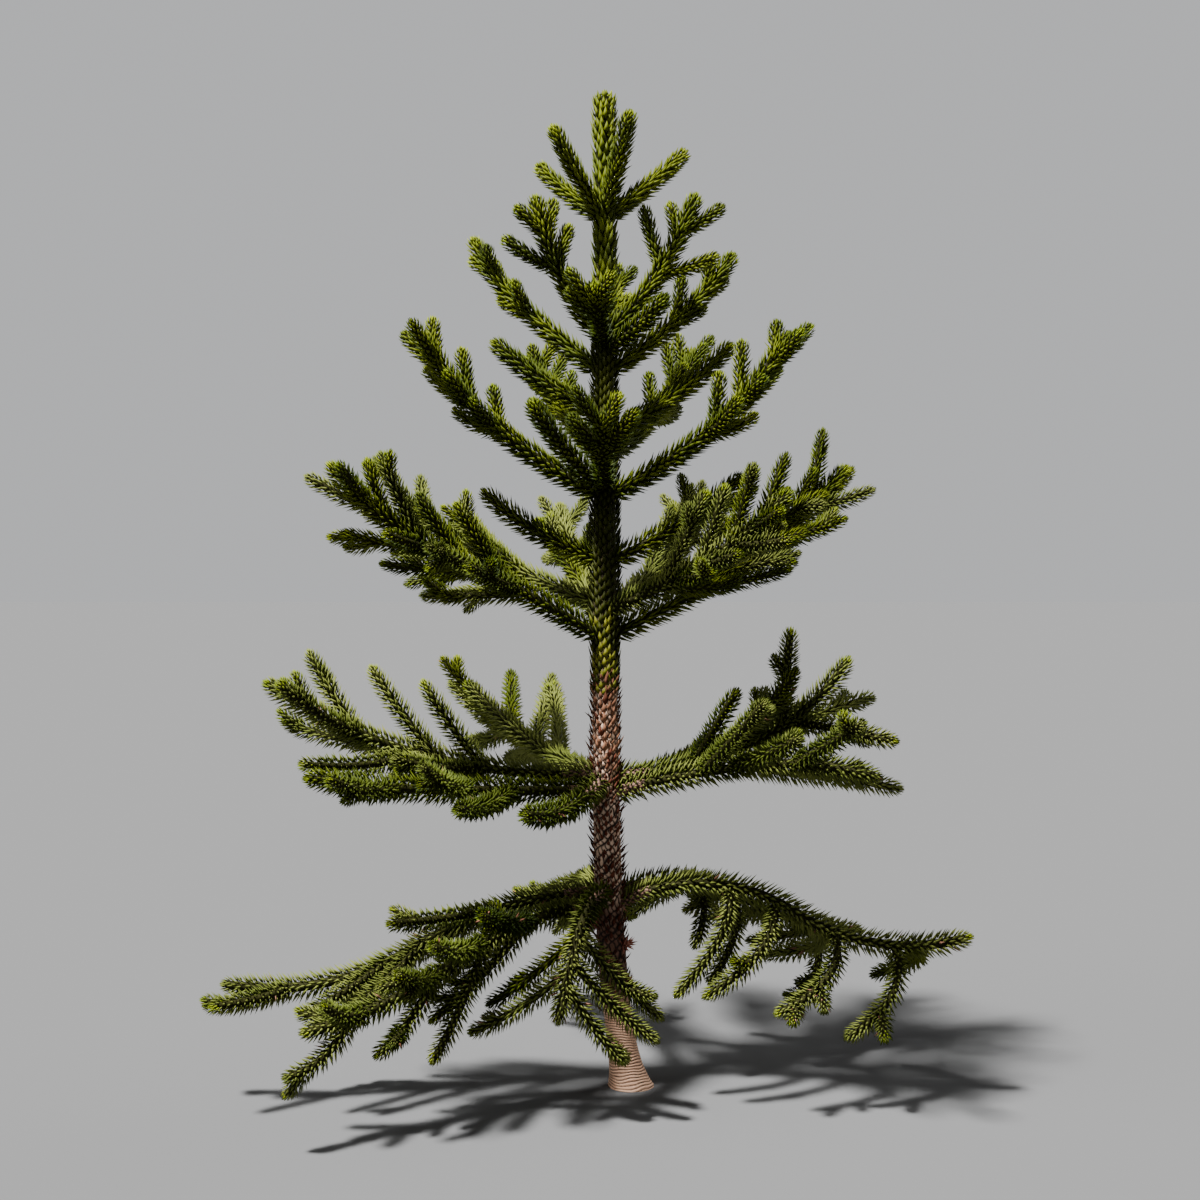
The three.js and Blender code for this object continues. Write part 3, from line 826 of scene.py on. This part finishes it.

# Leaves on the trunk. The leaves live for years, so even the trunk keeps them above the second whorl, in
# the spirals of its cushions. Over the old bark most are short golden scales at first, and higher up they
# are broad leaves that hide it, painted nearly black as the shade that the whorls above cast on them.
TRUNK_TURN = TRUNK_SPIRALS[1] / sum(TRUNK_SPIRALS)
TRUNK_STEP = CUSHION_PITCH / sum(TRUNK_SPIRALS)
SCALES_FROM = 1.26
CLOTHED_FROM = 1.46
SCALE_LENGTH = 0.030
TRUNK_LEAF_LENGTH = 0.044
TRUNK_LEAF_WIDTH = 0.021
SCALE_LEAN = 24
TRUNK_LEAF_LEAN = 33
LEAF_SINK = 0.001
TRUNK_GOLDEN = 0.7
SCALES_FADE = 0.1
TRUNK_LEAN_JITTER = 2.5
TRUNK_SIZE_JITTER = 0.05
TRUNK_TURN_JITTER = 0.006


def trunk_places(heights, turns, radius, lean, length, width):
    line = trunk_line(0, TREE_HEIGHT, count=300)
    walked = np.concatenate([[0], np.cumsum(np.linalg.norm(np.diff(line, axis=0), axis=1))])
    distances = np.interp(heights, line[:, 2], walked)
    return spiral_places(line, distances, turns, radius, lean, length, width)


numbers = np.arange(int(SCALES_FROM / TRUNK_STEP), int(LEADER_FROM / TRUNK_STEP))
heights = numbers * TRUNK_STEP
n = len(numbers)
lean = np.interp(heights, [CLOTHED_FROM - SCALES_FADE, CLOTHED_FROM], [SCALE_LEAN, TRUNK_LEAF_LEAN])
lean += random.normal(0, TRUNK_LEAN_JITTER, n)
length = np.interp(heights, [SCALES_FROM, CLOTHED_FROM], [SCALE_LENGTH, TRUNK_LEAF_LENGTH])
length *= random.normal(1, TRUNK_SIZE_JITTER, n)
turns = numbers * TRUNK_TURN + random.normal(0, TRUNK_TURN_JITTER, n)
radius = trunk_radius(heights) + CUSHION_DEPTH - LEAF_SINK
places = trunk_places(heights, turns, radius, lean, length, np.full(n, TRUNK_LEAF_WIDTH))
fading = [CLOTHED_FROM - SCALES_FADE, CLOTHED_FROM + SCALES_FADE]
golden = random.random(n) < np.interp(heights, fading, [TRUNK_GOLDEN, 0])
trunk_leaf_finishes = [
    # Painted shade: these leaves are darker than the shoots' leaves, for the shade of the foliage above.
    leaf_finish("trunk_leaf", paint(22, 28, 1), paint(36, 42, 3)),
    leaf_finish("trunk_leaf_under", paint(34, 38, 2), paint(56, 60, 6)),
    leaf_finish("trunk_leaf_golden", paint(52, 58, 7), paint(76, 80, 13)),
    leaf_finish("trunk_leaf_golden_under", paint(74, 78, 14), paint(104, 102, 26)),
]
trunk_leaves = joined("leaves_trunk", leaf, places, trunk_leaf_finishes, golden)
stand_for(trunk_leaves, ["trunk_leaves_lower", "trunk_leaves_upper"])

# Dead leaves. On the bare trunk the old leaves stay on as dry, dark brown spines, one on most cushions.
# Just below the green leaves they are still broad brown scales. Here and there a small shoot has died into
# a pink star.
SPINES_FROM = 0.24
SPINES_OVERLAP = 40
SPARSE_BELOW = 0.25
DENSE_ABOVE = 0.70
SPARSE_SHARE = 0.50
DENSE_SHARE = 0.97
SPINE_LENGTH = 0.036
SPINE_WIDTH = 0.0125
DEAD_SCALE_WIDTH = 0.016
SPINE_LEAN = 42
DEAD_SCALE_LEAN = 34
SPINES_TO = 0.90
SCALES_ONLY = 1.15
MOST_SCALES = 0.8
SPINE_LEAN_JITTER = 8
SPINE_SIZE_JITTER = 0.15
SPINE_TURN_JITTER = 0.01
STAR_LEAVES = 30
STAR_STEM = 0.018
STAR_LEAF = 0.034
STAR_WIDTH = 0.008
STAR_RISE = 25
STAR_BASE_LEAN = 85
STAR_TIP_LEAN = 25
STAR_LEAN_JITTER = 6
STAR_SIZE_JITTER = 0.12
# The height and the azimuth of each star.
STARS = [(0.335, 312), (0.455, 330), (0.395, 250), (0.52, 200), (0.43, 100), (0.58, 40)]
spine_finishes = [
    leaf_finish("spine", paint(48, 24, 15), paint(80, 40, 26), roughness=0.7),
    leaf_finish("spine_under", paint(54, 28, 18), paint(92, 48, 32), roughness=0.7),
    leaf_finish("dead_scale", paint(62, 36, 24), paint(108, 72, 52), roughness=0.8),
    leaf_finish("dead_scale_under", paint(74, 44, 30), paint(122, 84, 62), roughness=0.8),
    leaf_finish("star", paint(176, 108, 92), paint(206, 140, 122), roughness=0.8),
    leaf_finish("star_under", paint(166, 100, 84), paint(196, 132, 112), roughness=0.8),
]
SPINE, SCALE, STAR = range(3)


def star_places(height, azimuth):
    """The places of the leaves of a dead shoot that stands out of the trunk."""
    out = heading(azimuth, STAR_RISE)
    foot = np.array([trunk_x(height), 0, height]) + heading(azimuth, 0) * trunk_radius(height)
    share = np.linspace(0, 1, STAR_LEAVES)
    size = random.normal(1, STAR_SIZE_JITTER, STAR_LEAVES)
    turns = np.arange(STAR_LEAVES) * GOLDEN_TURN
    lean = STAR_BASE_LEAN + (STAR_TIP_LEAN - STAR_BASE_LEAN) * share
    lean += random.normal(0, STAR_LEAN_JITTER, STAR_LEAVES)
    line = np.linspace(foot, foot + out * STAR_STEM, 3)
    length, width = STAR_LEAF * size, STAR_WIDTH * size
    return spiral_places(line, share * STAR_STEM, turns, np.zeros(STAR_LEAVES), lean, length, width)


numbers = np.arange(int(SPINES_FROM / TRUNK_STEP), int(SCALES_FROM / TRUNK_STEP) + SPINES_OVERLAP)
share = np.interp(numbers * TRUNK_STEP, [SPARSE_BELOW, DENSE_ABOVE], [SPARSE_SHARE, DENSE_SHARE])
numbers = numbers[random.random(len(numbers)) < share]
heights = numbers * TRUNK_STEP
n = len(numbers)
scale_share = np.interp(heights, [SPINES_TO, SCALES_ONLY], [0, 1])
lean = SPINE_LEAN + (DEAD_SCALE_LEAN - SPINE_LEAN) * scale_share
lean += random.normal(0, SPINE_LEAN_JITTER, n)
size = random.normal(1, SPINE_SIZE_JITTER, n)
turns = numbers * TRUNK_TURN + random.normal(0, SPINE_TURN_JITTER, n)
radius = trunk_radius(heights) + CUSHION_DEPTH / 2
width = (SPINE_WIDTH + (DEAD_SCALE_WIDTH - SPINE_WIDTH) * scale_share) * size
places = trunk_places(heights, turns, radius, lean, SPINE_LENGTH * size, width)
places = np.concatenate([places, *[star_places(height, azimuth) for height, azimuth in STARS]])
kinds = np.full(len(places), STAR)
kinds[:n] = np.where(random.random(n) < MOST_SCALES * scale_share, SCALE, SPINE)
spines = joined("dead_leaves_trunk", leaf, places, spine_finishes, kinds)
stand_for(spines, ["trunk"])

# Studio: a plain pale floor, a strong light high on the left and a little in front, a weak one lower on the
# same side and another behind on the right, and a camera at a standing person's eye.
EYE = (-0.10, -5.10, 1.60)
SENSOR = 36.0
IMAGE_WIDTH = 1200
FOCAL_PIXELS = 1578
HORIZON_RISE = 10
WORLD_LIGHT = 0.14
WORLD_SEEN = 0.6
WORLD_COLOUR = (0.90, 0.91, 0.93, 1.0)
FLOOR_SIZE = 400
bpy.ops.mesh.primitive_plane_add(size=FLOOR_SIZE)
floor = bpy.context.object
floor.name = "floor"
floor_finish, _, floor_sockets = new_finish("floor", roughness=0.95)
floor_sockets["Base Color"].default_value = paint(97, 97, 97)
floor_sockets["Specular IOR Level"].default_value = 0.0
floor.data.materials.append(floor_finish)


def soft_light(name, place, angle, strength):
    """A broad distant light that shines from a place towards the origin."""
    lamp = bpy.data.lights.new(name, "SUN")
    lamp.angle = math.radians(angle)
    lamp.energy = strength
    light = bpy.data.objects.new(name, lamp)
    light.rotation_mode = "QUATERNION"
    light.rotation_quaternion = Vector(place).to_track_quat("Z", "Y")
    bpy.context.collection.objects.link(light)


soft_light("key", place=(-2.4, -1.5, 6.2), angle=6, strength=14.4)
soft_light("fill", place=(-5.0, -2.0, 4.5), angle=30, strength=0.9)
soft_light("back", place=(5.0, 3.0, 3.5), angle=40, strength=1.0)
world = bpy.data.worlds.new("studio")
world.use_nodes = True
background = world.node_tree.nodes["Background"].inputs
background["Color"].default_value = WORLD_COLOUR
seen = Value(world.node_tree).node("LightPath", {}, {}, output="Is Camera Ray")
(WORLD_LIGHT + (WORLD_SEEN - WORLD_LIGHT) * seen).feed(background["Strength"])
bpy.context.scene.world = world
camera = bpy.data.objects.new("camera", bpy.data.cameras.new("camera"))
camera.data.sensor_width = SENSOR
camera.data.lens = SENSOR * FOCAL_PIXELS / IMAGE_WIDTH
camera.data.shift_y = -HORIZON_RISE / IMAGE_WIDTH
camera.location = EYE
camera.rotation_euler = (math.pi / 2, 0, 0)
bpy.context.collection.objects.link(camera)
bpy.context.scene.camera = camera
